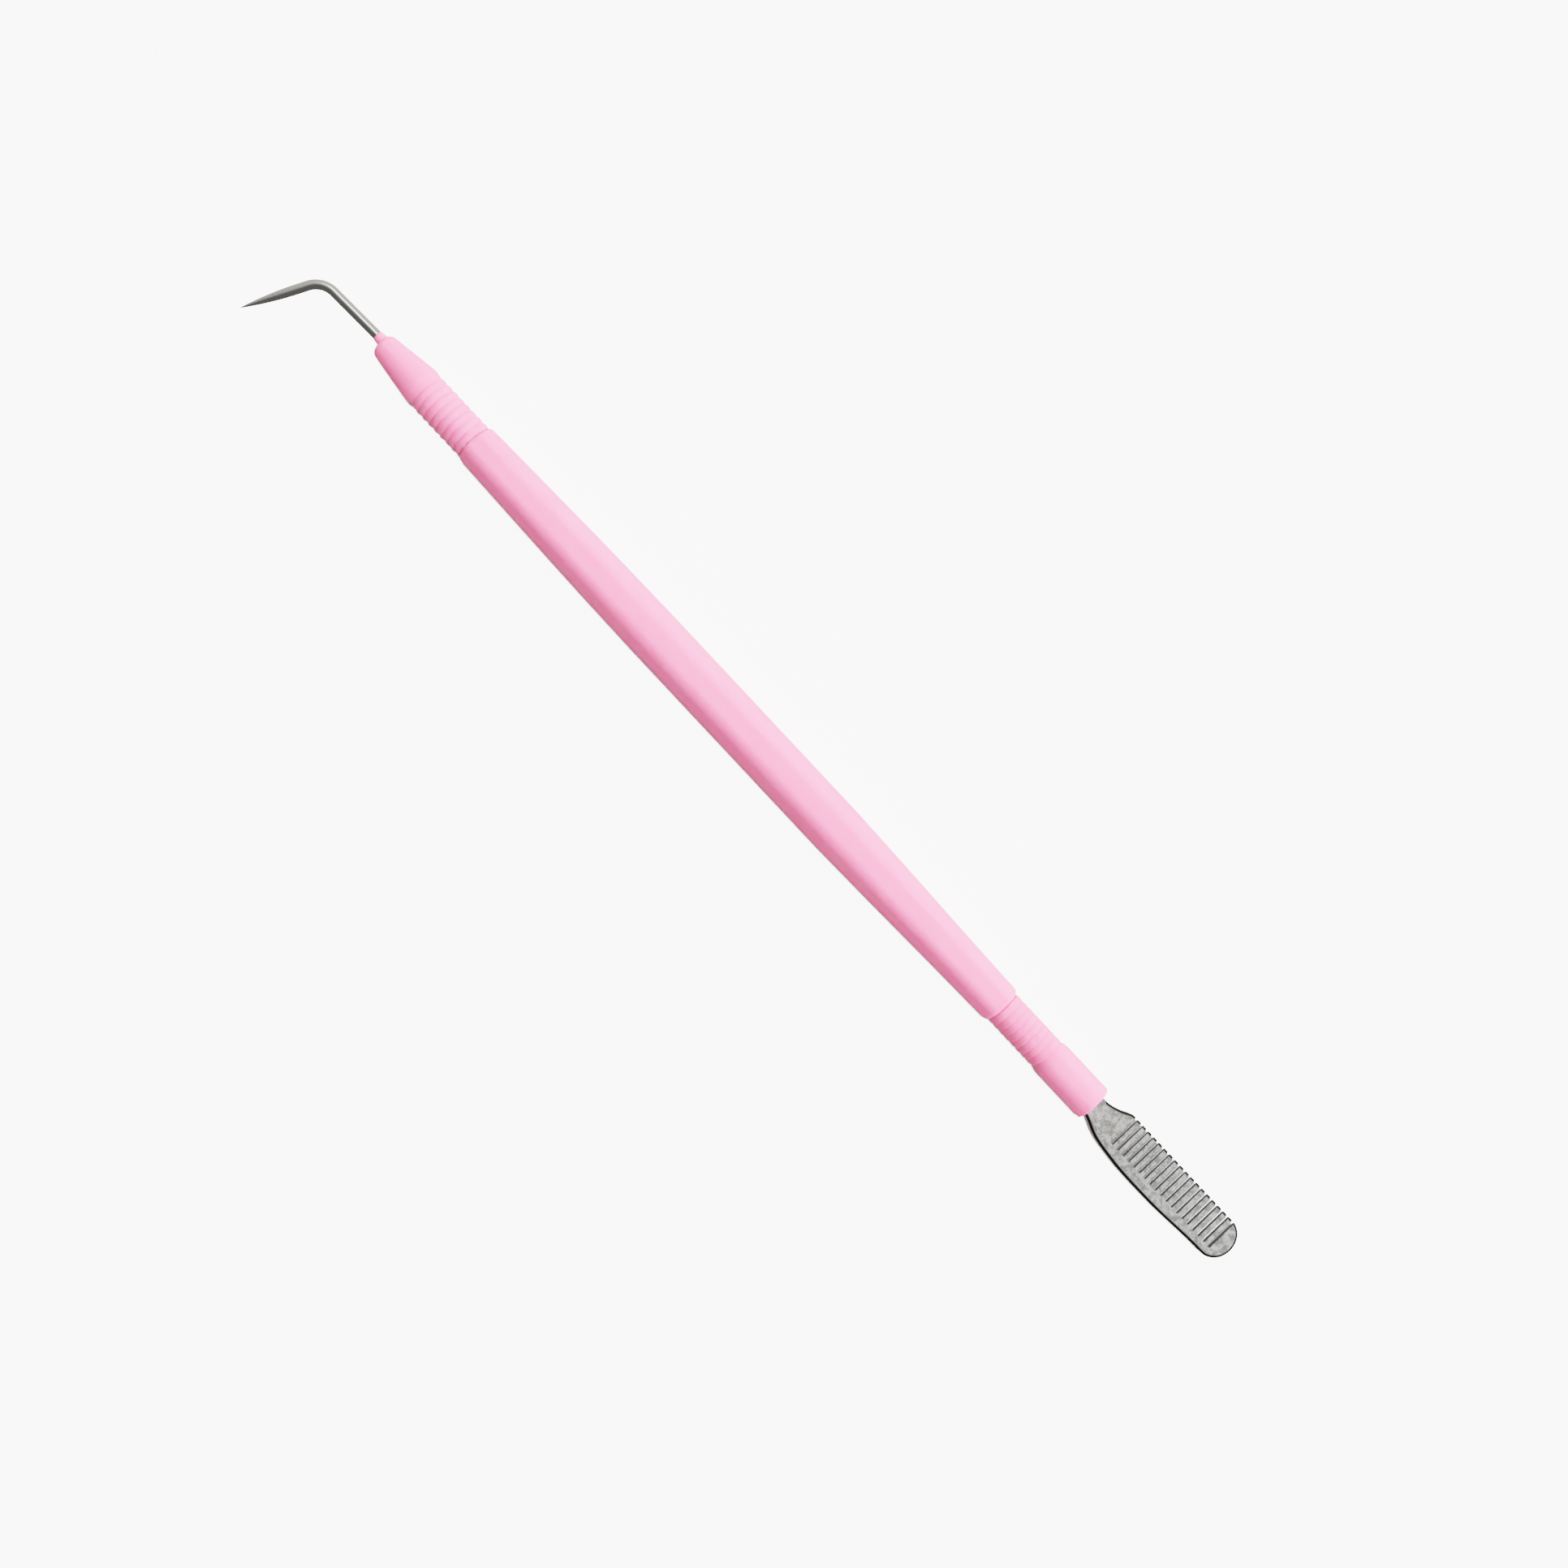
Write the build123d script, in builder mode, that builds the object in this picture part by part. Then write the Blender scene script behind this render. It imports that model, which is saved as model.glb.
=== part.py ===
from build123d import *
import os
from math import cos, radians, sin, tan

os.makedirs("parts", exist_ok=True)

# A double-ended eyelash tool: a moulded plastic handle with a bent steel pick in its nose and a flat steel
# comb in its other end. Millimetres. +X runs along the handle towards the comb, +Z is up from the flat side
# that the handle lies on, and the origin is on that flat, near the middle of the handle.

# Handle: a soft hexagon across, widest along the middle of the barrel
collar_tip_x = -59.62
block_end_x = 59.9
barrel_half_width = 3.11  # half the width from corner to corner, after the corners are rounded
barrel_corner_share = 0.515  # corner radius of the barrel, as a share of the half width
end_corner_share = 0.71  # the same on the comb's grip and the end block, which are rounder
parallel_start = -13.8
parallel_end = 17.2

# Barrel stations each side of the parallel middle: place along X, half width
pick_side_taper = [(-43.26, 2.56), (-32.8, 2.81), (-21.8, 3.03), (parallel_start, barrel_half_width)]
comb_side_taper = [(parallel_end, barrel_half_width), (25.2, 2.94), (35.2, 2.67), (44.85, 2.46)]
pick_shoulder_r = 0.45
comb_shoulder_r = 0.7

# Ringed grips: eight rings at each end of the barrel
ring_count = 8
pick_grip_start = -51.09
pick_ring_pitch = 0.982
pick_ring_r = 2.34
pick_valley_r = 2.20
comb_grip_start = 44.76
comb_ring_pitch = 0.9125
comb_ring_half_width = 2.17
comb_ring_edge_r = 0.12

# Nose: a round cone with a short collar round the wire
collar_length = 0.94
collar_tip_r = 0.65
collar_draft = 5.0  # degrees
nose_face_r = 1.48
nose_base_r = 2.42
nose_base_x = -52.11
nose_corner_r = 0.6
nose_base_corner_r = 0.35

# End block, where the comb comes out
block_half_width = 2.345
block_ramp_length = 0.9
block_ramp_height = 0.24
block_end_edge_r = 0.2

# Pick: round wire, bent once and ground to a point
wire_r = 0.585
wire_exit_y = 0.27  # the wire leaves the nose a little off the handle's axis
wire_lean = 1.8  # degrees off the handle's axis
pick_tang_length = 12.7
shank_to_corner = 8.87  # from the collar to where the two straight runs would cross
bend_r = 2.9
bend_turn = 64.0  # degrees
corner_to_tip = 9.83
point_length = 6.8
tip_r = 0.04
tang_notch_width = 0.9
tang_notch_depth = 0.16
tang_notch_count = 3

# Comb: flat plate, thinned towards the tips of its teeth
comb_thickness = 1.0
tooth_tip_thickness = 0.76
comb_tang_length = 13.5
comb_tang_top = 1.26
comb_tang_bottom = -1.30
tooth_tip_y = 2.46
plate_top = [(60.54, comb_tang_top), (62.64, 1.77), (64.12, tooth_tip_y)]  # from the tang up to the first tooth
plate_bottom = [(72.1, -3.09), (65.6, -2.92), (62.5, -2.45), (60.2, -1.58), (58.6, comb_tang_bottom)]
slot_count = 19
slot_pitch = 0.89
slot_width = 0.40
slot_bottom_y = -1.62
first_slot_x = 64.57
comb_end_x = 82.74
comb_end_centre_x = 80.54
comb_end_centre_y = -0.10
outline_edge_r = 0.18
tang_hole_r = 0.65
tang_hole_spacing = 5.0

clearance = 1.0  # how far a cutting solid reaches past what it cuts
cos30 = cos(radians(30))


def sharp_corner_radius(half_width, corner_r):
    """Circumradius of the hexagon whose rounded corners reach out to half_width."""
    return half_width + corner_r * (1 / cos30 - 1)


barrel_corner_r = barrel_half_width * barrel_corner_share
axis_z = sharp_corner_radius(barrel_half_width, barrel_corner_r) * cos30


def across(x):
    """Plane square to the handle at x, with its own x along the row's Y."""
    return Plane(origin=(x, 0, axis_z), x_dir=(0, 1, 0), z_dir=(1, 0, 0))


# Plane along the handle's axis, its own y up: a profile there is (place along X, radius)
lengthwise = Plane(origin=(0, 0, axis_z), x_dir=(1, 0, 0), z_dir=(0, -1, 0))
handle_axis = Axis((0, 0, axis_z), (1, 0, 0))


def soft_hexagon(half_width, corner_share):
    """Rounded hexagon in the current sketch, a flat up and a flat down."""
    corner_r = half_width * corner_share
    RegularPolygon(sharp_corner_radius(half_width, corner_r), 6)
    fillet(faces().sort_by(Axis.Z)[-1].vertices(), corner_r)


# ---- Pick ----------------------------------------------------------------------------------------------
# One wire. Its tang lies in the nose and the grip, grooved all round so that the plastic holds it.

shank_angle = 180 + wire_lean
shank_direction = Vector(cos(radians(shank_angle)), sin(radians(shank_angle)))
collar_tip = Vector(collar_tip_x, wire_exit_y, axis_z)
tang_end = collar_tip - shank_direction * pick_tang_length
bend_tangent_length = bend_r * tan(radians(bend_turn / 2))
shank_length = pick_tang_length + shank_to_corner - bend_tangent_length
full_arm_length = corner_to_tip - bend_tangent_length - point_length

with BuildPart() as pick:
    with BuildLine() as wire_path:
        shank = PolarLine(tang_end, shank_length, shank_angle)
        bend = JernArc(shank @ 1, shank % 1, bend_r, bend_turn)
        arm = PolarLine(bend @ 1, full_arm_length, shank_angle + bend_turn)
    with BuildSketch(Plane(origin=wire_path.line @ 0, z_dir=wire_path.line % 0)):
        Circle(wire_r)
    sweep(path=wire_path.line)

    point_start = wire_path.line @ 1
    point_direction = wire_path.line % 1
    with BuildSketch(Plane(origin=point_start, x_dir=point_direction, z_dir=(0, 0, 1))):
        with BuildLine():
            Line((0, 0), (0, wire_r))
            TangentArc((0, wire_r), (point_length, tip_r), tangent=(1, 0))
            Line((point_length, tip_r), (point_length, 0))
            Line((point_length, 0), (0, 0))
        make_face()
    revolve(axis=Axis(point_start, point_direction))

    with BuildSketch(Plane(origin=tang_end, x_dir=shank_direction, z_dir=(0, 0, 1))):
        for notch in range(tang_notch_count):
            with Locations(((2 * notch + 1.5) * tang_notch_width, wire_r)):
                Rectangle(tang_notch_width, 2 * tang_notch_depth)
    revolve(axis=Axis(tang_end, shank_direction), mode=Mode.SUBTRACT)

pick.part.label = "pick"


# ---- Comb ----------------------------------------------------------------------------------------------
# One plate. The spine runs along -Y and the slots are open along +Y. Two holes pierce the tang.

comb_tang_x = block_end_x - comb_tang_length
comb_end_half_height = tooth_tip_y - comb_end_centre_y
comb_end_bottom_y = comb_end_centre_y - comb_end_half_height

with BuildPart() as comb:
    with BuildSketch(Plane.XY.offset(axis_z - comb_thickness / 2)):
        with BuildLine():
            Line((comb_tang_x, comb_tang_bottom), (comb_tang_x, comb_tang_top))
            Line((comb_tang_x, comb_tang_top), plate_top[0])
            Spline(*plate_top, tangents=((1, 0), (1, 0.1)))
            Line(plate_top[-1], (comb_end_centre_x, tooth_tip_y))
            EllipticalCenterArc(
                (comb_end_centre_x, comb_end_centre_y),
                comb_end_x - comb_end_centre_x,
                comb_end_half_height,
                start_angle=-90,
                arc_size=180,
            )
            Spline((comb_end_centre_x, comb_end_bottom_y), *plate_bottom, tangents=((-1, 0), (-1, 0)))
            Line(plate_bottom[-1], (comb_tang_x, comb_tang_bottom))
        make_face()
    extrude(amount=comb_thickness)

    # both faces slope in from the bottoms of the slots to the tips of the teeth
    with BuildSketch(across(comb_tang_x - clearance)):
        for side in (1, -1):
            with BuildLine():
                Polyline(
                    (slot_bottom_y, side * comb_thickness / 2),
                    (tooth_tip_y + clearance, side * tooth_tip_thickness / 2),
                    (tooth_tip_y + clearance, side * comb_thickness),
                    (slot_bottom_y, side * comb_thickness),
                    close=True,
                )
            make_face()
    extrude(amount=comb_end_x - comb_tang_x + 2 * clearance, mode=Mode.SUBTRACT)

    # round the outline's edges outside the handle, but not the lines where the slopes begin
    off_centre = comb.edges().filter_by(lambda e: abs(e.center().Z - axis_z) > tooth_tip_thickness / 4)
    outside = off_centre.filter_by(lambda e: e.center().X > block_end_x - clearance)
    fillet(outside.filter_by(lambda e: abs(e.center().Y - slot_bottom_y) > outline_edge_r), outline_edge_r)

    slot_height = tooth_tip_y + clearance - slot_bottom_y
    slots_centre_x = first_slot_x + (slot_count - 1) * slot_pitch / 2
    with Locations((slots_centre_x, slot_bottom_y + slot_height / 2, axis_z)):
        with GridLocations(slot_pitch, 1, slot_count, 1):
            Box(slot_width, slot_height, 2 * comb_thickness, mode=Mode.SUBTRACT)

    tang_centre_x = comb_tang_x + comb_tang_length / 2
    with Locations((tang_centre_x, 0, axis_z)):
        with GridLocations(tang_hole_spacing, 1, 2, 1):
            Cylinder(tang_hole_r, 2 * comb_thickness, mode=Mode.SUBTRACT)

comb.part.label = "comb"


# ---- Handle --------------------------------------------------------------------------------------------
# One moulding round both tangs. The rings of the comb's grip follow the hexagon, and the others are round.

nose_face_x = collar_tip_x + collar_length
pick_grip_end = pick_grip_start + ring_count * pick_ring_pitch
comb_grip_end = comb_grip_start + ring_count * comb_ring_pitch
block_start = comb_grip_end + block_ramp_length

with BuildPart() as comb_ring:
    with BuildSketch(across(comb_grip_start)):
        soft_hexagon(comb_ring_half_width, end_corner_share)
    extrude(amount=comb_ring_pitch)
    rims = comb_ring.faces().filter_by(Axis.X).edges()
    fillet(rims, comb_ring_edge_r)

with BuildPart() as handle:
    # barrel: a parallel middle and a taper each side
    with BuildSketch(across(parallel_start)):
        soft_hexagon(barrel_half_width, barrel_corner_share)
    extrude(amount=parallel_end - parallel_start)
    for taper in (pick_side_taper, comb_side_taper):
        for x, half_width in taper:
            with BuildSketch(across(x)):
                soft_hexagon(half_width, barrel_corner_share)
        loft()
    fillet(handle.faces().sort_by(Axis.X)[0].edges(), pick_shoulder_r)
    fillet(handle.faces().sort_by(Axis.X)[-1].edges(), comb_shoulder_r)

    # nose and the round rings behind it
    with BuildSketch(lengthwise):
        with BuildLine():
            Polyline(
                (nose_face_x, 0),
                (nose_face_x, nose_face_r),
                (nose_base_x, nose_base_r),
                (pick_grip_start, pick_valley_r),
            )
            for ring in range(ring_count):
                ring_x = pick_grip_start + ring * pick_ring_pitch
                ThreePointArc(
                    (ring_x, pick_valley_r),
                    (ring_x + pick_ring_pitch / 2, pick_ring_r),
                    (ring_x + pick_ring_pitch, pick_valley_r),
                )
            Polyline(
                (pick_grip_end, pick_valley_r),
                (pick_grip_end + pick_ring_pitch, pick_valley_r - pick_ring_pitch),
                (pick_grip_end + pick_ring_pitch, 0),
                (nose_face_x, 0),
            )
        nose_profile = make_face()
        nose_corners = nose_profile.vertices().filter_by(lambda v: v.X < pick_grip_start - 0.1)
        face_corner = nose_corners.group_by(Axis.X)[0].sort_by(Axis.Z)[-1]
        fillet(face_corner, nose_corner_r)
        fillet(nose_corners.sort_by(Axis.X)[-1], nose_base_corner_r)
    revolve(axis=handle_axis)

    # collar round the wire, where the mould closes on it
    with BuildSketch(Plane(origin=collar_tip, z_dir=-shank_direction)):
        Circle(collar_tip_r)
    extrude(amount=2 * collar_length, taper=-collar_draft)

    # rings of the comb's grip, and the end block
    with Locations(*[(ring * comb_ring_pitch, 0, 0) for ring in range(ring_count)]):
        add(comb_ring.part)
    with BuildSketch(across(comb_grip_end)):
        soft_hexagon(block_half_width - block_ramp_height, end_corner_share)
    with BuildSketch(across(block_start)):
        soft_hexagon(block_half_width, end_corner_share)
    loft()
    with BuildSketch(across(block_start)):
        soft_hexagon(block_half_width, end_corner_share)
    extrude(amount=block_end_x - block_start)
    fillet(handle.faces().sort_by(Axis.X)[-1].edges(), block_end_edge_r)

    # the plastic fills every notch and hole of the two tangs
    add(pick.part, mode=Mode.SUBTRACT)
    add(comb.part, mode=Mode.SUBTRACT)

handle.part.label = "handle"

for piece in (handle, pick, comb):
    export_step(piece.part, "parts/" + piece.part.label + ".step")
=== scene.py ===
import math

import bmesh
import bpy
from mathutils import Matrix, Vector


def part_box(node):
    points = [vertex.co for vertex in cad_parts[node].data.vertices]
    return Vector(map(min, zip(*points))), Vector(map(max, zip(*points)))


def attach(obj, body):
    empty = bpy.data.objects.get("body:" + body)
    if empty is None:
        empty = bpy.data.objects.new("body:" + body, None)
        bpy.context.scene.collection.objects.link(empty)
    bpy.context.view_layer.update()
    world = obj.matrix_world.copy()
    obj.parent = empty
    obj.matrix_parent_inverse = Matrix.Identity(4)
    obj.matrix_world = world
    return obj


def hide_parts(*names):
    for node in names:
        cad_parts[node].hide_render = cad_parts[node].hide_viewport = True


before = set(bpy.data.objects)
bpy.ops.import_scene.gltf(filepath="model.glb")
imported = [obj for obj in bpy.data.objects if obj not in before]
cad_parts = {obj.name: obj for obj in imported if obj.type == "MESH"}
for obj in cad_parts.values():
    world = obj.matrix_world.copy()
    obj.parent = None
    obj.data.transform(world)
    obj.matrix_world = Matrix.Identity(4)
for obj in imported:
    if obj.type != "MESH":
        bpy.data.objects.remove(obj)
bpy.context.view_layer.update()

bpy.ops.object.select_all(action="DESELECT")


# ---- Camera --------------------------------------------------------------------------------------------
# A short-range product camera over the tool, turned so that the tool lies from upper left to lower right.
# It stands a little to the spine side of the comb, so that the plate's lower edge just shows.

mm = 0.001
handle_low, handle_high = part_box("handle")
pick_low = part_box("pick")[0]
comb_low, comb_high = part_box("comb")
axis_height = (handle_low.z + handle_high.z) / 2

camera_distance = 245 * mm
view_width = 178.56 * mm  # how much of the tool's own plane the camera takes in
camera_roll = math.radians(46.89)
camera_lean = math.radians(3.0)
aim_past_middle = 4.16 * mm  # towards the comb, from half way between the tool's two ends
aim_y = -0.84 * mm
aim = Vector(((pick_low.x + comb_high.x) / 2 + aim_past_middle, aim_y, axis_height))

upright = Vector((0, math.cos(camera_lean), math.sin(camera_lean)))
backward = Vector((0, -math.sin(camera_lean), math.cos(camera_lean)))
sideways = Vector((1, 0, 0))
view_right = sideways * math.cos(camera_roll) + upright * math.sin(camera_roll)
view_up = upright * math.cos(camera_roll) - sideways * math.sin(camera_roll)

camera_data = bpy.data.cameras.new("product_camera")
camera_data.lens = camera_data.sensor_width * camera_distance / view_width
camera_data.clip_start = 0.01
camera_data.clip_end = 10.0
camera = bpy.data.objects.new("product_camera", camera_data)
bpy.context.scene.collection.objects.link(camera)
camera_axes = Matrix((view_right, view_up, backward)).transposed().to_4x4()
camera.matrix_world = Matrix.Translation(aim + backward * camera_distance) @ camera_axes
bpy.context.scene.camera = camera
bpy.context.scene.view_settings.view_transform = "Filmic"


# ---- Studio --------------------------------------------------------------------------------------------
# A pale matt table with a light of its own straight above it, in a room that is bright on the side of the
# comb's teeth and dark on the other side, which is what the lower edges of the steel mirror. Each piece also
# has lights that fall on it alone, in its own section.

floor_size = 3.0
floor_paint = "#F4F4F3"


def linear(hex_colour):
    """sRGB hex to the linear colour that a shader socket takes."""
    channels = [int(hex_colour[i : i + 2], 16) / 255 for i in (1, 3, 5)]
    return tuple(c / 12.92 if c <= 0.04045 else ((c + 0.055) / 1.055) ** 2.4 for c in channels) + (1.0,)


def add_node(tree, kind, inputs, **settings):
    """Adds one node. An input is a plain value, a socket, or a node whose first socket is linked."""
    node = tree.nodes.new(kind)
    for name, value in settings.items():
        setattr(node, name, value)
    for name, value in inputs.items():
        if isinstance(name, int):  # for a node whose inputs share one name
            socket = node.inputs[name]
        else:
            socket = next(s for s in node.inputs if s.enabled and s.name == name)
        if isinstance(value, bpy.types.Node):
            value = next(s for s in value.outputs if s.enabled)
        if isinstance(value, bpy.types.NodeSocket):
            tree.links.new(value, socket)
        else:
            socket.default_value = value
    return node


def clear_tree(name):
    """The node tree of the material of that name, emptied."""
    material = bpy.data.materials[name]
    material.use_nodes = True
    material.node_tree.nodes.clear()
    return material.node_tree


def new_material(name, piece):
    """A new material on the piece, and its empty node tree."""
    piece.data.materials.clear()
    piece.data.materials.append(bpy.data.materials.new(name))
    return clear_tree(name)


# Matt white painted board, plain and even. It is left out of reflections and of bounced light, so the steel
# mirrors the room instead.
bpy.ops.mesh.primitive_plane_add(size=floor_size)
floor = bpy.context.object
floor.name = "studio_floor"
floor.visible_glossy = False
floor.visible_diffuse = False
floor_tree = new_material("matt_white_table", floor)
floor_shader = add_node(
    floor_tree, "ShaderNodeBsdfPrincipled", {"Base Color": linear(floor_paint), "Roughness": 0.9}
)
add_node(floor_tree, "ShaderNodeOutputMaterial", {"Surface": floor_shader})
floor.select_set(False)


def soft_light(name, direction, distance, size, power):
    """A round soft light at that distance from the camera's aim, facing it."""
    data = bpy.data.lights.new(name, "AREA")
    data.shape = "DISK"
    data.size = size
    data.energy = power
    light = bpy.data.objects.new(name, data)
    bpy.context.scene.collection.objects.link(light)
    away = Vector(direction).normalized()
    light.location = aim + away * distance
    light.rotation_euler = away.to_track_quat("Z", "Y").to_euler()
    return light


def only_for(light, piece):
    """Makes the light fall on this piece alone."""
    receivers = bpy.data.collections.new("lit_by_" + light.name)
    receivers.objects.link(piece)
    light.light_linking.receiver_collection = receivers


table_light = soft_light("table_light", (0, 0, 1), distance=1.2, size=0.09, power=90.0)
only_for(table_light, floor)

# The room grows lighter towards its window, and is the same below the horizon as above it.
window_direction = (-0.35, 0.9, 0.3)
room = bpy.data.worlds.new("studio_room")
bpy.context.scene.world = room
room.use_nodes = True
room_tree = room.node_tree
room_tree.nodes.clear()
room_view = room_tree.nodes.new("ShaderNodeTexCoord").outputs["Generated"]
room_direction = add_node(room_tree, "ShaderNodeSeparateXYZ", {"Vector": room_view})
height_either_way = add_node(
    room_tree, "ShaderNodeMath", {"Value": room_direction.outputs["Z"]}, operation="ABSOLUTE"
)
folded_direction = add_node(
    room_tree,
    "ShaderNodeCombineXYZ",
    {"X": room_direction.outputs["X"], "Y": room_direction.outputs["Y"], "Z": height_either_way},
)
towards_window = add_node(
    room_tree, "ShaderNodeVectorMath", {0: folded_direction, 1: window_direction}, operation="DOT_PRODUCT"
)
room_light = add_node(
    room_tree,
    "ShaderNodeMapRange",
    {
        "Value": towards_window.outputs["Value"],
        "From Min": -0.12,
        "From Max": 1.0,
        "To Min": 0.2,
        "To Max": 1.6,
    },
)
room_background = add_node(room_tree, "ShaderNodeBackground", {"Strength": room_light})
add_node(room_tree, "ShaderNodeOutputWorld", {"Surface": room_background})


# ---- Handle --------------------------------------------------------------------------------------------
# The handle is one injection moulding in pink polypropylene, moulded straight round the tangs of the pick
# and the comb. From the nose: wire collar, round cone, round rings, soft hexagonal barrel, flatter rings
# that follow the hexagon, and the end block.

barrel_half_width = handle_high.y
barrel_corner_share = 0.515  # corner radius of the barrel, as a share of the half width
block_corner_share = 0.71
corner_segments = 8
flat_cuts = 3
loop_points = 6 * (corner_segments + 1 + flat_cuts)

pick_shoulder_x = -43.26 * mm
comb_shoulder_x = 44.85 * mm
pick_end_half_width = 2.56 * mm
barrel_stations = [
    (pick_shoulder_x, pick_end_half_width),
    (-38.0 * mm, 2.695 * mm),
    (-32.8 * mm, 2.81 * mm),
    (-27.3 * mm, 2.93 * mm),
    (-21.8 * mm, 3.03 * mm),
    (-13.8 * mm, barrel_half_width),
    (17.2 * mm, barrel_half_width),
    (25.2 * mm, 2.94 * mm),
    (30.2 * mm, 2.81 * mm),
    (35.2 * mm, 2.67 * mm),
    (40.0 * mm, 2.56 * mm),
    (comb_shoulder_x, 2.46 * mm),
]
pick_shoulder_rounding = 0.5 * mm
comb_shoulder_rounding = 0.7 * mm

ring_count = 8
pick_grip_start = -51.09 * mm
pick_valley = 2.20 * mm
pick_crest = 2.34 * mm
comb_grip_end = 52.06 * mm
comb_groove = 2.03 * mm
comb_crest = (2.14 * mm, 2.18 * mm)  # each ring stands a little prouder on the side of the comb
comb_groove_width = 0.16 * mm
grip_gap = 0.01 * mm  # from each end loop of the barrel to the grip's, bridged below

nose_base = (-52.11 * mm, 2.42 * mm)
nose_face = (-58.68 * mm, 1.48 * mm)
nose_base_rounding = 0.35 * mm
nose_face_rounding = 0.6 * mm
wire_exit_y = 0.27 * mm
wire_lean = math.radians(1.8)
collar_tip = Vector((-59.62 * mm, wire_exit_y, axis_height))
collar_tip_radius = 0.65 * mm
collar_root_radius = 0.757 * mm

block_neck = (comb_grip_end + 0.15 * mm, 2.12 * mm)
block_start = (52.96 * mm, 2.345 * mm)
block_end = handle_high.x
block_start_rounding = 0.4 * mm
block_end_rounding = 0.2 * mm
station_reach = 0.002 * mm  # how near to a station's x a vertex counts as on it


def choose(kind, test):
    """In edit mode, selects only those verts, edges or faces that pass the test."""
    bpy.ops.mesh.select_mode(type={"verts": "VERT", "edges": "EDGE", "faces": "FACE"}[kind])
    bpy.ops.mesh.select_all(action="DESELECT")
    shape = bmesh.from_edit_mesh(bpy.context.object.data)
    for element in getattr(shape, kind):
        if test(element):
            element.select_set(True)
    shape.select_flush_mode()
    bmesh.update_edit_mesh(bpy.context.object.data)


def at_station(x):
    """A test for vertices across the handle at x."""
    return lambda vert: abs(vert.co.x - x) < station_reach


def edges_at(x):
    """A test for edges that lie across the handle at x."""
    return lambda edge: all(abs(vert.co.x - x) < station_reach for vert in edge.verts)


def soften_hexagon(x, half_width, corner_share):
    """Makes the new hexagonal face across the handle at x a loop with rounded corners and divided flats."""
    corner_reach = half_width * corner_share * math.tan(math.radians(30))
    choose("verts", at_station(x))
    bpy.ops.mesh.bevel(offset=corner_reach, segments=corner_segments, affect="VERTICES")
    # the flats, which are much longer than the pieces of the corners
    choose("edges", lambda edge: edges_at(x)(edge) and edge.calc_length() > half_width / 4)
    bpy.ops.mesh.subdivide(number_cuts=flat_cuts)
    choose("faces", lambda face: abs(face.calc_center_median().x - x) < station_reach)
    bpy.ops.mesh.delete(type="ONLY_FACE")
    choose("verts", at_station(x))


def sharp_hexagon_radius(half_width, corner_share):
    """Radius to a corner of the hexagon before its corners are rounded down to half_width."""
    return half_width * (1 + corner_share * (1 / math.cos(math.radians(30)) - 1))


def extrude_through(stations):
    """Extrudes the selected loop through (x, half width) stations. The first one is where it stands."""
    for (x, half_width), (next_x, next_half_width) in zip(stations, stations[1:]):
        bpy.ops.mesh.extrude_region_move(TRANSFORM_OT_translate={"value": (next_x - x, 0, 0)})
        grow = next_half_width / half_width
        bpy.ops.transform.resize(value=(1, grow, grow), center_override=(next_x, 0, axis_height))


def start_piece(name):
    """Names the primitive just added, sets its place into its mesh and opens it for editing."""
    piece = bpy.context.object
    piece.name = name
    bpy.ops.object.transform_apply(location=True, rotation=True, scale=True)
    bpy.ops.object.mode_set(mode="EDIT")
    return piece


def finish_piece(name, sharp_angle):
    """Closes the edit: doubles merged, faces outwards, smooth but for edges sharper than sharp_angle."""
    bpy.ops.mesh.select_mode(type="VERT")
    bpy.ops.mesh.select_all(action="SELECT")
    bpy.ops.mesh.remove_doubles(threshold=0.0005 * mm)
    bpy.ops.mesh.normals_make_consistent(inside=False)
    bpy.ops.object.mode_set(mode="OBJECT")
    bpy.ops.object.shade_smooth_by_angle(angle=math.radians(sharp_angle))
    bpy.context.object.data.name = name
    bpy.ops.object.select_all(action="DESELECT")


# barrel
bpy.ops.mesh.primitive_circle_add(
    vertices=6,
    radius=sharp_hexagon_radius(pick_end_half_width, barrel_corner_share),
    fill_type="NGON",
    location=(pick_shoulder_x, 0, axis_height),
    rotation=(0, math.radians(90), 0),
)
handle = start_piece("handle_moulding")
soften_hexagon(pick_shoulder_x, pick_end_half_width, barrel_corner_share)
extrude_through(barrel_stations)

# comb's grip and the end block
comb_pitch = (comb_grip_end - comb_shoulder_x) / ring_count
bpy.ops.mesh.select_all(action="DESELECT")
comb_grip_start = comb_shoulder_x + grip_gap
bpy.ops.mesh.primitive_circle_add(
    vertices=6,
    radius=sharp_hexagon_radius(comb_groove, block_corner_share),
    fill_type="NGON",
    location=(comb_grip_start, 0, axis_height),
    rotation=(0, math.radians(90), 0),
)
soften_hexagon(comb_grip_start, comb_groove, block_corner_share)
comb_rings = [(comb_grip_start, comb_groove)]
# each ring climbs steeply out of a groove, rises a little along its crest and drops steeply into the next one
for ring in range(ring_count):
    ring_start = comb_shoulder_x + ring * comb_pitch
    ring_end = ring_start + comb_pitch
    comb_rings += [
        (ring_start + comb_groove_width * 0.25, (comb_groove + comb_crest[0]) / 2),
        (ring_start + comb_groove_width * 0.7, comb_crest[0]),
        (ring_end - comb_groove_width * 0.5, comb_crest[1]),
        (ring_end - comb_groove_width * 0.2, (comb_groove + comb_crest[1]) / 2),
        (ring_end, comb_groove),
    ]
extrude_through(comb_rings + [block_neck, block_start, (block_end, block_start[1])])

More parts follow.
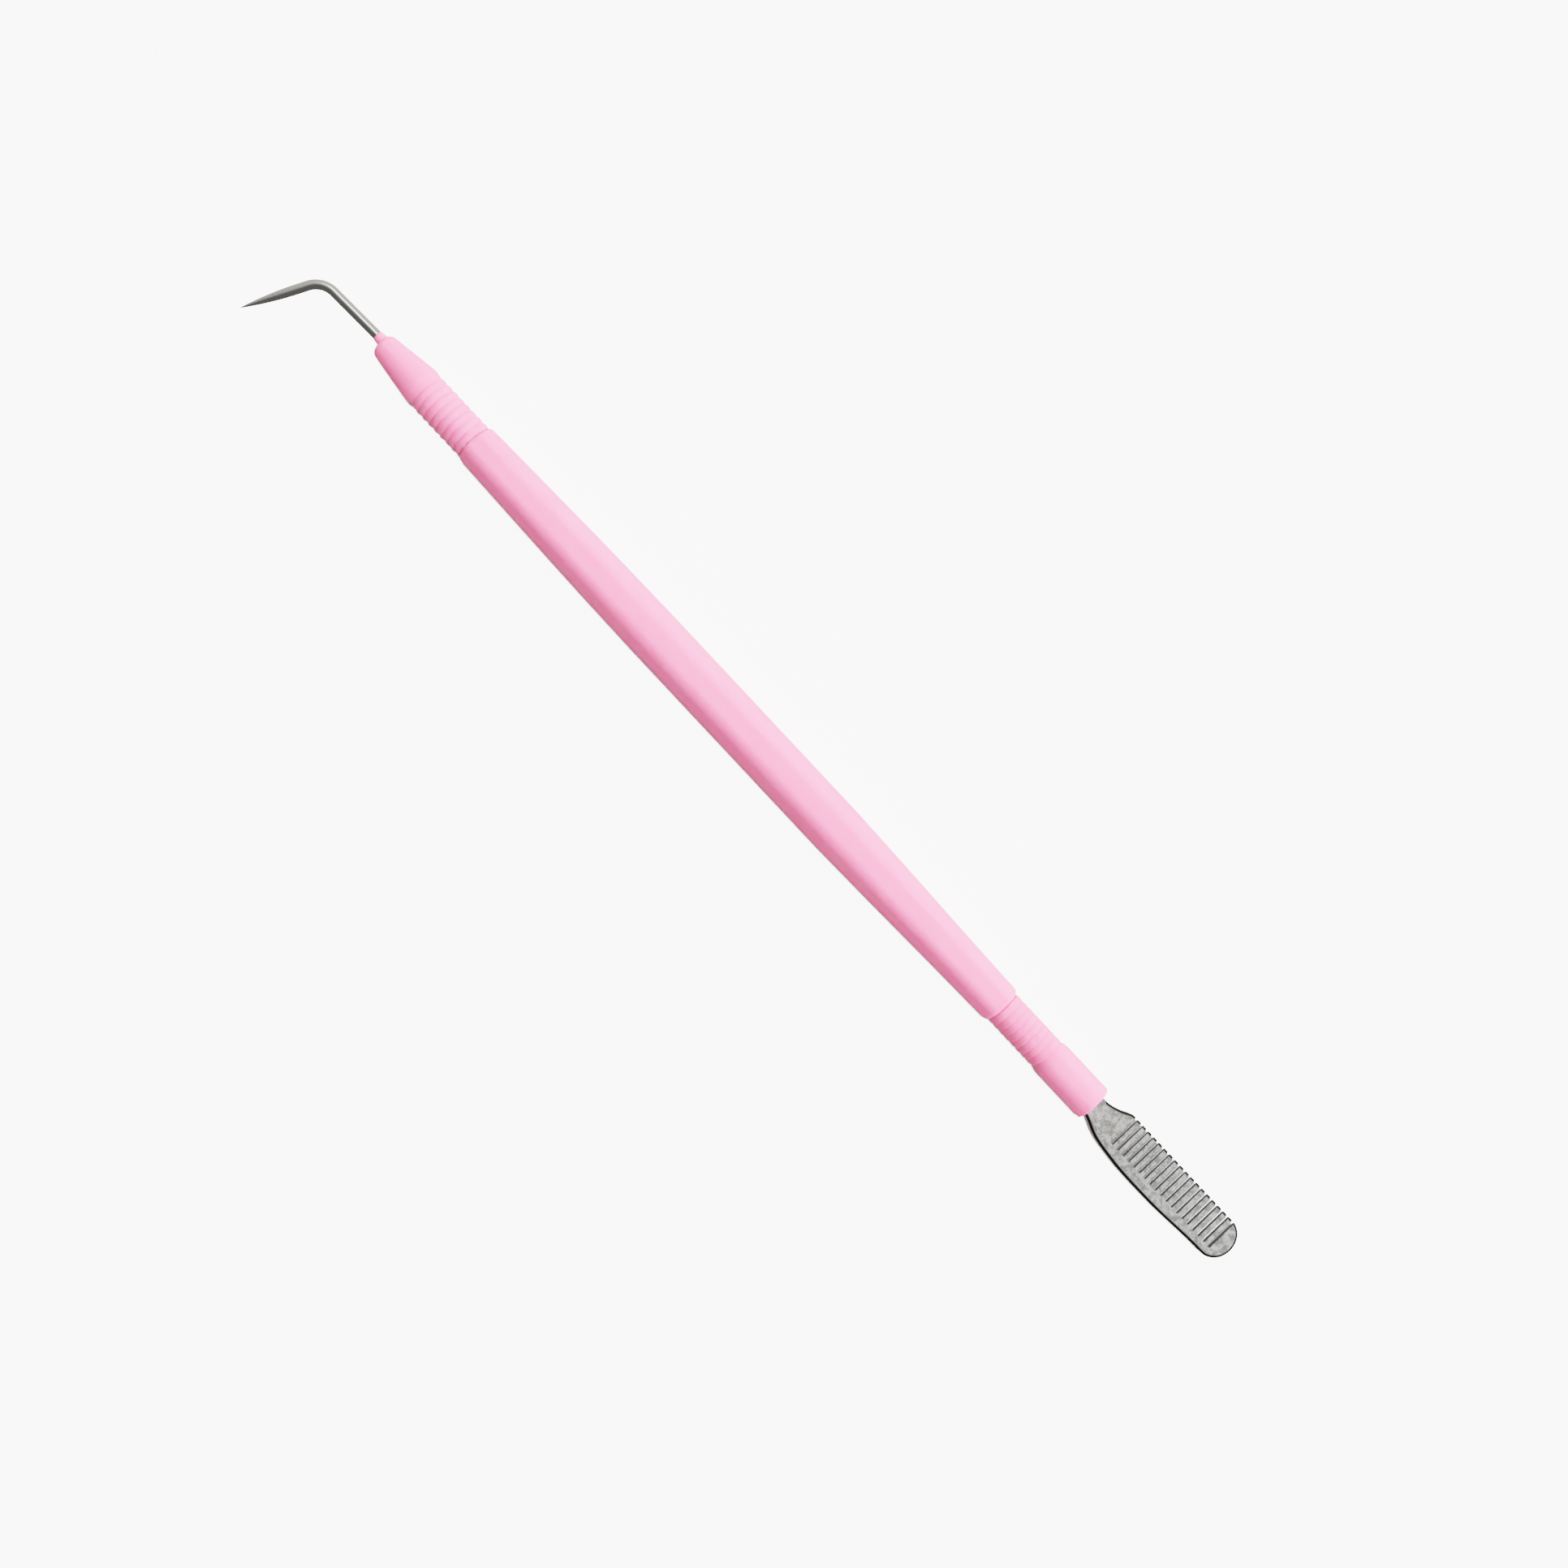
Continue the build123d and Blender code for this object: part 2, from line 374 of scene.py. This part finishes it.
# nose and the round rings behind it
bpy.ops.mesh.select_all(action="DESELECT")
pick_grip_end = pick_shoulder_x - grip_gap
bpy.ops.mesh.primitive_circle_add(
    vertices=loop_points,
    radius=pick_valley,
    location=(pick_grip_end, 0, axis_height),
    rotation=(0, math.radians(90), 0),
)
choose("verts", at_station(pick_grip_end))
pick_pitch = (pick_grip_end - pick_grip_start) / ring_count
crest_height = pick_crest - pick_valley
crest_curve = ((pick_pitch / 2) ** 2 + crest_height**2) / (2 * crest_height)
ring_steps = 8
pick_rings = [(pick_grip_end, pick_valley)]
for step in range(1, ring_count * ring_steps + 1):
    along = pick_pitch * ((step % ring_steps) / ring_steps - 0.5)
    height = math.sqrt(crest_curve**2 - along**2) - (crest_curve - crest_height)
    pick_rings.append((pick_grip_end - step * pick_pitch / ring_steps, pick_valley + height))
extrude_through(pick_rings + [nose_base, nose_face])

# collar round the wire: the nose's face drawn in, moved onto the wire and pulled out along it
wire_direction = Vector((-math.cos(wire_lean), -math.sin(wire_lean), 0))
collar_root = collar_tip - wire_direction * ((nose_face[0] - collar_tip.x) / math.cos(wire_lean))
bpy.ops.mesh.extrude_region_move()
shrink = collar_root_radius / nose_face[1]
bpy.ops.transform.resize(value=(1, shrink, shrink), center_override=(nose_face[0], 0, axis_height))
bpy.ops.transform.translate(value=(0, collar_root.y, 0))
bpy.ops.mesh.extrude_region_move(TRANSFORM_OT_translate={"value": collar_tip - collar_root})
shrink = collar_tip_radius / collar_root_radius
bpy.ops.transform.resize(value=(1, shrink, shrink), center_override=collar_tip)
bpy.ops.mesh.edge_face_add()

# the block's end is closed, and the two grips are joined to the barrel
choose("verts", at_station(block_end))
bpy.ops.mesh.edge_face_add()
for first_x, second_x in ((pick_grip_end, pick_shoulder_x), (comb_shoulder_x, comb_grip_start)):
    choose("edges", lambda edge: edges_at(first_x)(edge) or edges_at(second_x)(edge))
    bpy.ops.mesh.bridge_edge_loops()

# corners rounded as the mould's are, outside the collar
outer_reach = (nose_face[1] + collar_root_radius) / 2
for x, rounding in (
    (nose_base[0], nose_base_rounding),
    (nose_face[0], nose_face_rounding),
    (pick_shoulder_x, pick_shoulder_rounding),
    (comb_shoulder_x, comb_shoulder_rounding),
    (block_start[0], block_start_rounding),
    (block_end, block_end_rounding),
):
    choose(
        "edges",
        lambda edge: edges_at(x)(edge)
        and all(math.hypot(vert.co.y, vert.co.z - axis_height) > outer_reach for vert in edge.verts),
    )
    bpy.ops.mesh.bevel(offset=rounding, segments=5, affect="EDGES", clamp_overlap=False)
finish_piece("handle_moulding", sharp_angle=38)

# mouth of the slot that the comb's tang fills; deeper in, the tang lies unseen inside the plastic
tang_slot_y = -0.12 * mm
tang_slot_width = 2.84 * mm
tang_slot_height = 1.02 * mm
tang_slot_depth = 4.0 * mm
bpy.ops.mesh.primitive_cube_add(
    size=1,
    location=(block_end, tang_slot_y, axis_height),
    scale=(2 * tang_slot_depth, tang_slot_width, tang_slot_height),
)
tang_cutter = bpy.context.object
bpy.ops.object.transform_apply(location=True, rotation=True, scale=True)
bpy.ops.object.select_all(action="DESELECT")
bpy.context.view_layer.objects.active = handle
handle.select_set(True)
tang_cut = handle.modifiers.new("tang_slot", "BOOLEAN")
tang_cut.object = tang_cutter
tang_cut.operation = "DIFFERENCE"
bpy.ops.object.modifier_apply(modifier=tang_cut.name)
bpy.data.objects.remove(tang_cutter)

# Injection-moulded polypropylene, satin from a lightly spark-eroded mould. Red light goes about a millimetre
# into it, so its dark side is a deep warm pink, and the flow of the melt leaves faint long clouds in the
# colour. The mould's grain is too fine to show, so it is drawn as coarse as 0.3 mm.
plastic_tree = new_material("satin_moulded_polypropylene", handle)
plastic_place = plastic_tree.nodes.new("ShaderNodeTexCoord").outputs["Object"]
flow_stretch = add_node(
    plastic_tree, "ShaderNodeMapping", {"Vector": plastic_place, "Scale": (0.25, 1.0, 1.0)}
)
flow_cloud = add_node(
    plastic_tree, "ShaderNodeTexNoise", {"Vector": flow_stretch, "Scale": 1 / (3 * mm), "Detail": 3.0}
)
plastic_colour = add_node(
    plastic_tree,
    "ShaderNodeMix",
    {"Factor": flow_cloud, "A": linear("#FA6288"), "B": linear("#FD6C90")},
    data_type="RGBA",
)
mould_grain = add_node(
    plastic_tree, "ShaderNodeTexNoise", {"Vector": plastic_place, "Scale": 1 / (0.3 * mm), "Detail": 4.0}
)
plastic_roughness = add_node(
    plastic_tree, "ShaderNodeMapRange", {"Value": mould_grain, "To Min": 0.36, "To Max": 0.5}
)
plastic_bump = add_node(
    plastic_tree, "ShaderNodeBump", {"Height": mould_grain, "Strength": 0.35, "Distance": 0.01 * mm}
)
plastic_shader = add_node(
    plastic_tree,
    "ShaderNodeBsdfPrincipled",
    {
        "Base Color": plastic_colour,
        "Roughness": plastic_roughness,
        "Normal": plastic_bump,
        "IOR": 1.49,
        "Subsurface Weight": 0.8,
        "Subsurface Radius": (1.0, 0.15, 0.2),
        "Subsurface Scale": 0.9 * mm,
    },
)
add_node(plastic_tree, "ShaderNodeOutputMaterial", {"Surface": plastic_shader})

# The plastic's own lights: a big one on the side of the teeth, one overhead, and one past the comb's end that
# catches the side of each ring.
key_box = soft_light("key_box", (0.3, 1.0, 0.78), distance=1.1, size=1.3, power=118.0)
key_box.visible_glossy = False
only_for(key_box, handle)
fill_card = soft_light("fill_card", (-0.35, -0.3, 1.0), distance=0.8, size=0.6, power=8.5)
fill_card.visible_glossy = False
only_for(fill_card, handle)
end_card = soft_light("end_card", (0.97, -0.12, 0.2), distance=0.8, size=0.4, power=15.0)
end_card.visible_glossy = False
only_for(end_card, handle)

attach(handle, "root")
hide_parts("handle")
handle.select_set(False)


# ---- Pick ----------------------------------------------------------------------------------------------
# The pick is one drawn stainless wire, bent once, ground to a long point and polished. Its tang lies in the
# nose of the handle, with three grooves that the plastic grips.

wire_radius = 0.585 * mm
wire_points = 32
tang_length = 12.7 * mm
tang_grooves = 3
tang_groove_width = 0.9 * mm
tang_groove_depth = 0.16 * mm
tang_groove_step = 0.001 * mm  # how far each step down or up leans along the wire
shank_to_corner = 8.87 * mm
bend_radius = 2.9 * mm
bend_turn = math.radians(64.0)
bend_steps = 18
corner_to_tip = 9.83 * mm
point_length = 6.8 * mm
point_steps = 14
tip_radius = 0.04 * mm

tang_end = collar_tip - wire_direction * tang_length
bend_tangent = bend_radius * math.tan(bend_turn / 2)
shank_end = collar_tip + wire_direction * (shank_to_corner - bend_tangent)
arm_direction = Matrix.Rotation(bend_turn, 3, "Z") @ wire_direction
arm_end = shank_end + (wire_direction + arm_direction) * bend_tangent
point_start = arm_end + arm_direction * (corner_to_tip - bend_tangent - point_length)

bpy.ops.mesh.primitive_circle_add(
    vertices=wire_points,
    radius=wire_radius,
    fill_type="NGON",
    location=tang_end,
    rotation=wire_direction.to_track_quat("Z", "Y").to_euler(),
)
pick = start_piece("pick_wire")
bpy.ops.mesh.select_all(action="SELECT")


def draw_wire(place, direction, length, radius, next_radius):
    """Extrudes the wire's selected end by length and gives it the next radius."""
    next_place = place + direction * length
    bpy.ops.mesh.extrude_region_move(TRANSFORM_OT_translate={"value": direction * length})
    grow = next_radius / radius
    bpy.ops.transform.resize(value=(grow, grow, grow), center_override=next_place)
    return next_place


# tang, with a step down and a step up at each groove
place = tang_end
grooved_radius = wire_radius - tang_groove_depth
for groove in range(tang_grooves):
    place = draw_wire(place, wire_direction, tang_groove_width, wire_radius, wire_radius)
    place = draw_wire(place, wire_direction, tang_groove_step, wire_radius, grooved_radius)
    place = draw_wire(place, wire_direction, tang_groove_width, grooved_radius, grooved_radius)
    place = draw_wire(place, wire_direction, tang_groove_step, grooved_radius, wire_radius)
place = draw_wire(place, wire_direction, (collar_tip - place).length, wire_radius, wire_radius)
draw_wire(place, wire_direction, (shank_end - place).length, wire_radius, wire_radius)

# bend, the short full-thickness arm, and the point ground to a slender ogive
bend_side = Matrix.Rotation(math.radians(90), 3, "Z") @ wire_direction
bpy.ops.mesh.spin(
    steps=bend_steps,
    angle=-bend_turn,
    center=shank_end + bend_side * bend_radius,
    axis=(0, 0, 1),
)
draw_wire(arm_end, arm_direction, (point_start - arm_end).length, wire_radius, wire_radius)
ogive_drop = wire_radius - tip_radius
ogive_radius = (point_length**2 + ogive_drop**2) / (2 * ogive_drop)
place = point_start
radius = wire_radius
for step in range(1, point_steps + 1):
    along = point_length * step / point_steps
    next_radius = wire_radius - ogive_radius + math.sqrt(ogive_radius**2 - along**2)
    place = draw_wire(place, arm_direction, point_length / point_steps, radius, next_radius)
    radius = next_radius
finish_piece("pick_wire", sharp_angle=35)

# Drawn and polished stainless steel: a near mirror whose fine draw lines run along the wire and stretch each
# reflection across it. Real ones are too fine to show, so they are drawn as coarse as 0.12 mm. They keep the
# shank's direction on the bent arm too.
wire_tree = new_material("polished_drawn_stainless", pick)
wire_place = wire_tree.nodes.new("ShaderNodeTexCoord").outputs["Object"]
draw_stretch = add_node(wire_tree, "ShaderNodeMapping", {"Vector": wire_place, "Scale": (0.06, 1.0, 1.0)})
draw_lines = add_node(
    wire_tree, "ShaderNodeTexNoise", {"Vector": draw_stretch, "Scale": 1 / (0.12 * mm), "Detail": 4.0}
)
wire_cloud = add_node(
    wire_tree, "ShaderNodeTexNoise", {"Vector": wire_place, "Scale": 1 / (0.7 * mm), "Detail": 2.0}
)
wire_colour = add_node(
    wire_tree,
    "ShaderNodeMix",
    {"Factor": draw_lines, "A": linear("#A5A19C"), "B": linear("#C9C6C1")},
    data_type="RGBA",
)
wire_roughness = add_node(
    wire_tree, "ShaderNodeMapRange", {"Value": wire_cloud, "To Min": 0.12, "To Max": 0.24}
)
wire_bump = add_node(
    wire_tree, "ShaderNodeBump", {"Height": draw_lines, "Strength": 0.3, "Distance": 0.006 * mm}
)
wire_shader = add_node(
    wire_tree,
    "ShaderNodeBsdfPrincipled",
    {"Base Color": wire_colour, "Roughness": wire_roughness, "Normal": wire_bump, "Metallic": 1.0},
)
add_node(wire_tree, "ShaderNodeOutputMaterial", {"Surface": wire_shader})

# The wire's own light, for the bright line along the top of the shank.
strip_card = soft_light("strip_card", (-0.3, 0.36, 0.88), distance=0.8, size=0.35, power=2.0)
only_for(strip_card, pick)

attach(pick, "root")
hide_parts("pick")


# ---- Comb ----------------------------------------------------------------------------------------------
# The comb is one stainless plate, 1 mm thick, blanked to its outline. Both faces are ground down towards the
# tips of the teeth, the slots are sawn in, and then it is tumbled, which rounds every edge and greys it.

plate_thickness = comb_high.z - comb_low.z
tip_thickness = 0.76 * mm
slot_floor_y = -1.62 * mm
tip_y = comb_high.y
tang_top_y = 1.26 * mm
tang_bottom_y = -1.30 * mm
neck_top = [(60.54 * mm, tang_top_y), (62.64 * mm, 1.77 * mm), (64.12 * mm, tip_y)]
end_centre = (80.54 * mm, -0.10 * mm)
end_reach = comb_high.x - end_centre[0]
end_half_height = tip_y - end_centre[1]
end_arc_steps = 24
back_curve = [
    (58.6 * mm, tang_bottom_y),
    (60.2 * mm, -1.58 * mm),
    (62.5 * mm, -2.45 * mm),
    (65.6 * mm, -2.92 * mm),
    (72.1 * mm, -3.09 * mm),
    (end_centre[0], end_centre[1] - end_half_height),
]
slot_count = 19
slot_pitch = 0.89 * mm
slot_width = 0.40 * mm
first_slot_x = 64.57 * mm
outline_rounding = 0.34 * mm
slot_rounding = 0.05 * mm
grind_below_slots = 0.12 * mm
narrow_side_lean = 0.3  # a face whose normal has less Z than this is on the plate's narrow side
floor_reach = 0.01 * mm  # how near to the slots' floors a face counts as one


def smooth_curve(points, end_slopes, steps):
    """Points along a smooth curve through the given ones, which run along X (cubic, three-point slopes)."""
    slopes = [end_slopes[0]]
    for before, here, after in zip(points, points[1:], points[2:]):
        run_in, run_out = here[0] - before[0], after[0] - here[0]
        slope_in, slope_out = (here[1] - before[1]) / run_in, (after[1] - here[1]) / run_out
        slopes.append((slope_in * run_out + slope_out * run_in) / (run_in + run_out))
    slopes.append(end_slopes[1])
    curve = [points[0]]
    for i, (start, end) in enumerate(zip(points, points[1:])):
        run = end[0] - start[0]
        for step in range(1, steps + 1):
            t = step / steps
            y = (2 * t**3 - 3 * t**2 + 1) * start[1] + (3 * t**2 - 2 * t**3) * end[1]
            y += (t**3 - 2 * t**2 + t) * run * slopes[i] + (t**3 - t**2) * run * slopes[i + 1]
            curve.append((start[0] + run * t, y))
    return curve


top_edge = smooth_curve(neck_top, end_slopes=(0.0, 0.1), steps=6)
end_arc = []
for step in range(end_arc_steps + 1):
    turn = math.radians(90 - 180 * step / end_arc_steps)
    end_arc.append(
        (end_centre[0] + end_reach * math.cos(turn), end_centre[1] + end_half_height * math.sin(turn))
    )
back_edge = smooth_curve(back_curve, end_slopes=(0.0, 0.0), steps=7)[::-1]
outline = [(comb_low.x, tang_bottom_y), (comb_low.x, tang_top_y)] + top_edge + end_arc + back_edge[1:]

# blank: one point drawn round the outline, closed, filled and given its thickness
bpy.ops.mesh.primitive_plane_add(size=mm, location=(outline[0][0], outline[0][1], comb_low.z))
comb = start_piece("comb_plate")
comb.data.materials.append(bpy.data.materials.new("tumbled_stainless_plate"))
comb.data.materials.append(bpy.data.materials.new("blanked_side_and_painted_shade"))
bpy.ops.mesh.select_all(action="SELECT")
bpy.ops.mesh.merge(type="CENTER")
for (x, y), (next_x, next_y) in zip(outline, outline[1:]):
    bpy.ops.mesh.extrude_vertices_move(TRANSFORM_OT_translate={"value": (next_x - x, next_y - y, 0)})
bpy.ops.mesh.select_all(action="SELECT")
bpy.ops.mesh.edge_face_add()
bpy.ops.mesh.extrude_region_move(TRANSFORM_OT_translate={"value": (0, 0, plate_thickness)})
bpy.ops.mesh.select_all(action="SELECT")
bpy.ops.mesh.normals_make_consistent(inside=False)

# both faces ground away from just under the slots' floors to the tips
grind_start_y = slot_floor_y - grind_below_slots
grind_rise = (plate_thickness - tip_thickness) / 2
grind_run = tip_y - grind_start_y
for side in (1, -1):
    bpy.ops.mesh.select_all(action="SELECT")
    bpy.ops.mesh.bisect(
        plane_co=(0, grind_start_y, axis_height + side * plate_thickness / 2),
        plane_no=Vector((0, grind_rise, side * grind_run)).normalized(),
        use_fill=True,
        clear_outer=True,
        threshold=0.0001 * mm,
    )

# the narrow side all round has its own finish with painted shade, and its edges are rounded by tumbling
# outside the handle
rounded_from = block_end - 1.0 * mm  # a little inside the block, so that no square edge shows


def is_outline_edge(edge):
    """An edge between a broad face and the plate's narrow side, out of the handle."""
    if len(edge.link_faces) != 2 or min(vert.co.x for vert in edge.verts) < rounded_from:
        return False
    lean = sorted(abs(face.normal.z) for face in edge.link_faces)
    return lean[0] < narrow_side_lean and lean[1] > 0.9


choose("faces", lambda face: abs(face.normal.z) < narrow_side_lean)
comb.active_material_index = 1
bpy.ops.object.material_slot_assign()
choose("edges", is_outline_edge)
bpy.ops.mesh.bevel(offset=outline_rounding, segments=4, affect="EDGES", clamp_overlap=False, material=1)
bpy.ops.object.mode_set(mode="OBJECT")

# slots: one cutter repeated and cut through the plate
slot_height = 2 * (tip_y - slot_floor_y)
bpy.ops.mesh.primitive_cube_add(
    size=1,
    location=(first_slot_x, slot_floor_y + slot_height / 2, axis_height),
    scale=(slot_width, slot_height, 3 * plate_thickness),
)
slot_cutter = bpy.context.object
bpy.ops.object.transform_apply(location=True, rotation=True, scale=True)
slot_row = slot_cutter.modifiers.new("slot_row", "ARRAY")
slot_row.count = slot_count
slot_row.use_relative_offset = False
slot_row.use_constant_offset = True
slot_row.constant_offset_displace = (slot_pitch, 0, 0)
bpy.ops.object.modifier_apply(modifier=slot_row.name)
bpy.ops.object.select_all(action="DESELECT")
bpy.context.view_layer.objects.active = comb
comb.select_set(True)
slot_cut = comb.modifiers.new("slots", "BOOLEAN")
slot_cut.object = slot_cutter
slot_cut.operation = "DIFFERENCE"
bpy.ops.object.modifier_apply(modifier=slot_cut.name)
bpy.data.objects.remove(slot_cutter)


# slot walls and floors have the finish of the narrow side, with its painted shade, and their edges are broken
def is_slot_side(face):
    """A wall or the floor of a slot."""
    if face.calc_center_median().x < first_slot_x - slot_width:
        return False
    at_floor = abs(face.calc_center_median().y - slot_floor_y) < floor_reach
    return abs(face.normal.x) > 0.99 or (abs(face.normal.y) > 0.99 and at_floor)


bpy.ops.object.mode_set(mode="EDIT")
choose("faces", is_slot_side)
bpy.ops.object.material_slot_assign()
choose("edges", lambda edge: [is_slot_side(face) for face in edge.link_faces].count(True) == 1)
bpy.ops.mesh.bevel(offset=slot_rounding, segments=2, affect="EDGES", clamp_overlap=True, material=0)
finish_piece("comb_plate", sharp_angle=40)
comb.select_set(True)
flat_faces = comb.modifiers.new("flat_faces", "WEIGHTED_NORMAL")
flat_faces.keep_sharp = True
bpy.ops.object.modifier_apply(modifier=flat_faces.name)
comb.select_set(False)

# Tumbled stainless plate: stones have peened it to a mottled grey of dimples about 0.3 mm across under wider
# clouds, lighter and a little rougher on their crowns.
plate_tree = clear_tree("tumbled_stainless_plate")
plate_place = plate_tree.nodes.new("ShaderNodeTexCoord").outputs["Object"]
peening = add_node(
    plate_tree,
    "ShaderNodeTexNoise",
    {"Vector": plate_place, "Scale": 1 / (0.28 * mm), "Detail": 3.0, "Roughness": 0.7},
)
plate_cloud = add_node(
    plate_tree, "ShaderNodeTexNoise", {"Vector": plate_place, "Scale": 1 / (0.6 * mm), "Detail": 3.0}
)
plate_mottle = add_node(plate_tree, "ShaderNodeMath", {0: peening, 1: plate_cloud}, operation="ADD")
plate_tone = add_node(
    plate_tree, "ShaderNodeMapRange", {"Value": plate_mottle, "From Min": 0.85, "From Max": 1.15}
)
plate_colour = add_node(
    plate_tree,
    "ShaderNodeMix",
    {"Factor": plate_tone, "A": linear("#918F8B"), "B": linear("#DDDDDA")},
    data_type="RGBA",
)
plate_roughness = add_node(
    plate_tree, "ShaderNodeMapRange", {"Value": peening, "To Min": 0.2, "To Max": 0.36}
)
plate_bump = add_node(
    plate_tree, "ShaderNodeBump", {"Height": peening, "Strength": 0.6, "Distance": 0.04 * mm}
)
plate_shader = add_node(
    plate_tree,
    "ShaderNodeBsdfPrincipled",
    {"Base Color": plate_colour, "Roughness": plate_roughness, "Normal": plate_bump, "Metallic": 1.0},
)
add_node(plate_tree, "ShaderNodeOutputMaterial", {"Surface": plate_shader})

# Blanked and sawn sides: the punch and the saw leave torn, unpolished steel that the stones only dull. Its
# colour is darkened to near black as painted shade, so the outline and the walls of the slots look nearly
# black in place of the shadow in the slots and the dark reflections along the outline. Towards the face the
# colour turns to the face's grey, partly where the stones reach the shoulder of the rounded outline and
# partly as painted shade that deepens as the side turns away from the face. The torn lines are too fine to
# show, so they are drawn as coarse as 0.1 mm.
side_tree = clear_tree("blanked_side_and_painted_shade")
side_place = side_tree.nodes.new("ShaderNodeTexCoord").outputs["Object"]
tear_stretch = add_node(side_tree, "ShaderNodeMapping", {"Vector": side_place, "Scale": (1.0, 1.0, 0.25)})
tear_lines = add_node(
    side_tree, "ShaderNodeTexNoise", {"Vector": tear_stretch, "Scale": 1 / (0.1 * mm), "Detail": 3.0}
)
# painted shade: the torn steel's colour is set near black to stand in for the shadow in the slots and dark
# reflections on the outline
torn_steel_and_painted_shade = add_node(
    side_tree,
    "ShaderNodeMix",
    {"Factor": tear_lines, "A": linear("#191817"), "B": linear("#3A3835")},
    data_type="RGBA",
)
side_normal = side_tree.nodes.new("ShaderNodeNewGeometry").outputs["Normal"]
side_facing = add_node(side_tree, "ShaderNodeSeparateXYZ", {"Vector": side_normal})
side_flatness = add_node(
    side_tree, "ShaderNodeMath", {"Value": side_facing.outputs["Z"]}, operation="ABSOLUTE"
)
# painted shade: the side's colour darkens as its normal turns away from the face's, as well as where the
# stones did not reach
stone_reach_and_painted_shade = add_node(
    side_tree, "ShaderNodeMapRange", {"Value": side_flatness, "From Min": 0.93, "From Max": 1.0}
)
side_colour = add_node(
    side_tree,
    "ShaderNodeMix",
    {"Factor": stone_reach_and_painted_shade, "A": torn_steel_and_painted_shade, "B": linear("#B4B3B0")},
    data_type="RGBA",
)
side_roughness = add_node(
    side_tree, "ShaderNodeMapRange", {"Value": tear_lines, "To Min": 0.35, "To Max": 0.6}
)
side_bump = add_node(
    side_tree, "ShaderNodeBump", {"Height": tear_lines, "Strength": 0.5, "Distance": 0.02 * mm}
)
side_shader = add_node(
    side_tree,
    "ShaderNodeBsdfPrincipled",
    {"Base Color": side_colour, "Roughness": side_roughness, "Normal": side_bump, "Metallic": 1.0},
)
add_node(side_tree, "ShaderNodeOutputMaterial", {"Surface": side_shader})

# The plate's own lights: one that catches the edge of each tooth on the handle's side, and one over its face.
edge_card = soft_light("edge_card", (-0.8, 0.1, 0.55), distance=0.8, size=0.3, power=1.6)
only_for(edge_card, comb)
overhead_card = soft_light("overhead_card", (0.35, 0.05, 0.94), distance=0.8, size=0.5, power=0.5)
only_for(overhead_card, comb)

# The handle and the comb shade the table, so the slots look down on shadow.
table_blockers = bpy.data.collections.new("shades_the_table")
for shading_piece in (handle, comb):
    table_blockers.objects.link(shading_piece)
table_light.light_linking.blocker_collection = table_blockers

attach(comb, "root")
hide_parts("comb")
